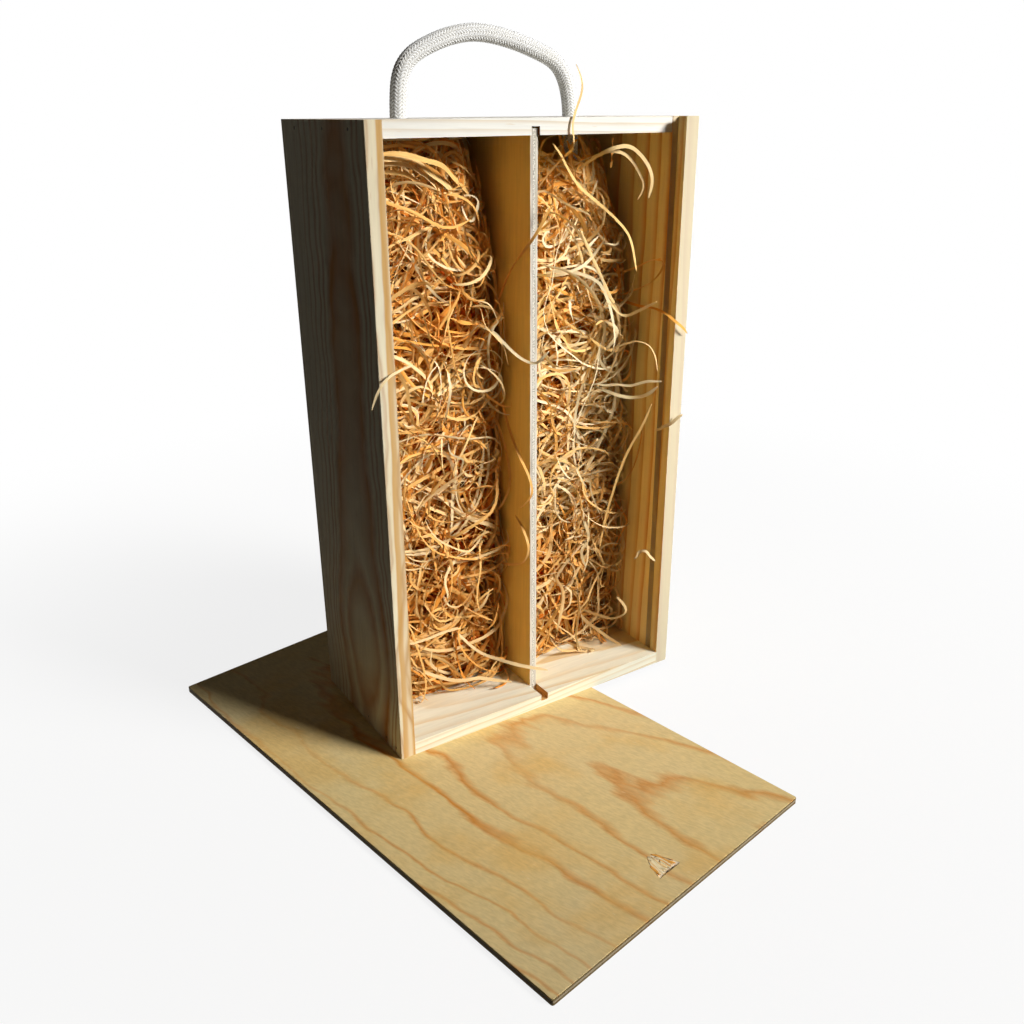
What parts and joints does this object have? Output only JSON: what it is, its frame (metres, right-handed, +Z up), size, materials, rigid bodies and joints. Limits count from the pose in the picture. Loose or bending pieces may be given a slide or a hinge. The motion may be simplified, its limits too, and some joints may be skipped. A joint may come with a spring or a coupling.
{
  "type": "wine box",
  "caption": "Upright pine box for wine bottles, with grooved sides, a divider, wood wool packing, a rope handle and a thin sliding lid that lies flat beneath it.",
  "frame": {"origin": "on the ground, on the lid's underside, under the middle of the box", "axes": "+Z up, +X to the right along the box's width, -Y out of the box's open front"},
  "size_m": [0.2878, 0.3696, 0.4004],
  "materials": {
    "pine_side": "satin",
    "pine_end": "satin",
    "plywood_back": "matte",
    "plywood_divider": "matte",
    "plywood_lid": "satin",
    "nail_steel": "satin",
    "rope_cotton": "matte",
    "wood_wool": "matte"
  },
  "bodies": {
    "carcass": {"side_board_left": "pine_side", "side_board_right": "pine_side", "top_board": "pine_end", "bottom_board": "pine_end", "back_panel": "plywood_back", "divider": "plywood_divider", "nails_left_top": "nail_steel", "nails_left_bottom": "nail_steel", "nails_right_top": "nail_steel", "nails_right_bottom": "nail_steel"},
    "lid": {"lid": "plywood_lid"},
    "handle": {"rope_handle": "rope_cotton", "rope_knot_left": "rope_cotton", "rope_knot_right": "rope_cotton"},
    "wool_left": {"wood_wool_left": "wood_wool"},
    "wool_right": {"wood_wool_right": "wood_wool"}
  },
  "joints": [
    {"name": "lid_slide", "type": "slide", "parent": "carcass", "child": "lid", "axis": [0.1781, -0.984, 0], "range_m": [0, 0.2]},
    {"name": "handle_lift", "type": "slide", "parent": "carcass", "child": "handle", "axis": [0, 0, 1], "range_m": [0, 0.025]},
    {"name": "wool_left_out", "type": "slide", "parent": "carcass", "child": "wool_left", "axis": [0, -1, 0], "range_m": [0, 0.11]},
    {"name": "wool_right_out", "type": "slide", "parent": "carcass", "child": "wool_right", "axis": [0, -1, 0], "range_m": [0, 0.11]}
  ]
}
